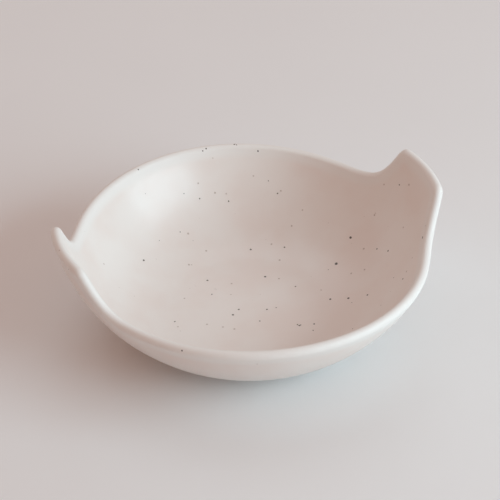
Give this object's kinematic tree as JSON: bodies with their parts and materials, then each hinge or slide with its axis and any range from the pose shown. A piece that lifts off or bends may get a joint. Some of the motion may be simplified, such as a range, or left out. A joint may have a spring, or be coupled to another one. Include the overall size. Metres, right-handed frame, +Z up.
{
  "type": "balti dish",
  "caption": "Round shallow stoneware serving bowl on a foot ring, with two flared ears rising out of the rim at opposite ends.",
  "frame": {"origin": "centre of the foot's tread, on the surface that the dish stands on", "axes": "+Z up; +X through the middle of the right ear; +Y away from the viewer of the picture"},
  "size_m": [0.1976, 0.183, 0.0703],
  "materials": {
    "clay_body": "bare fired stoneware, matt and slightly gritty",
    "white_glaze": "satin white glaze with dark brown iron specks"
  },
  "bodies": {
    "root": {"bowl_body": "clay_body", "foot_ring": "clay_body", "right_ear": "clay_body", "left_ear": "clay_body", "glaze_coat": "white_glaze", "base_glaze": "white_glaze"}
  },
  "joints": []
}
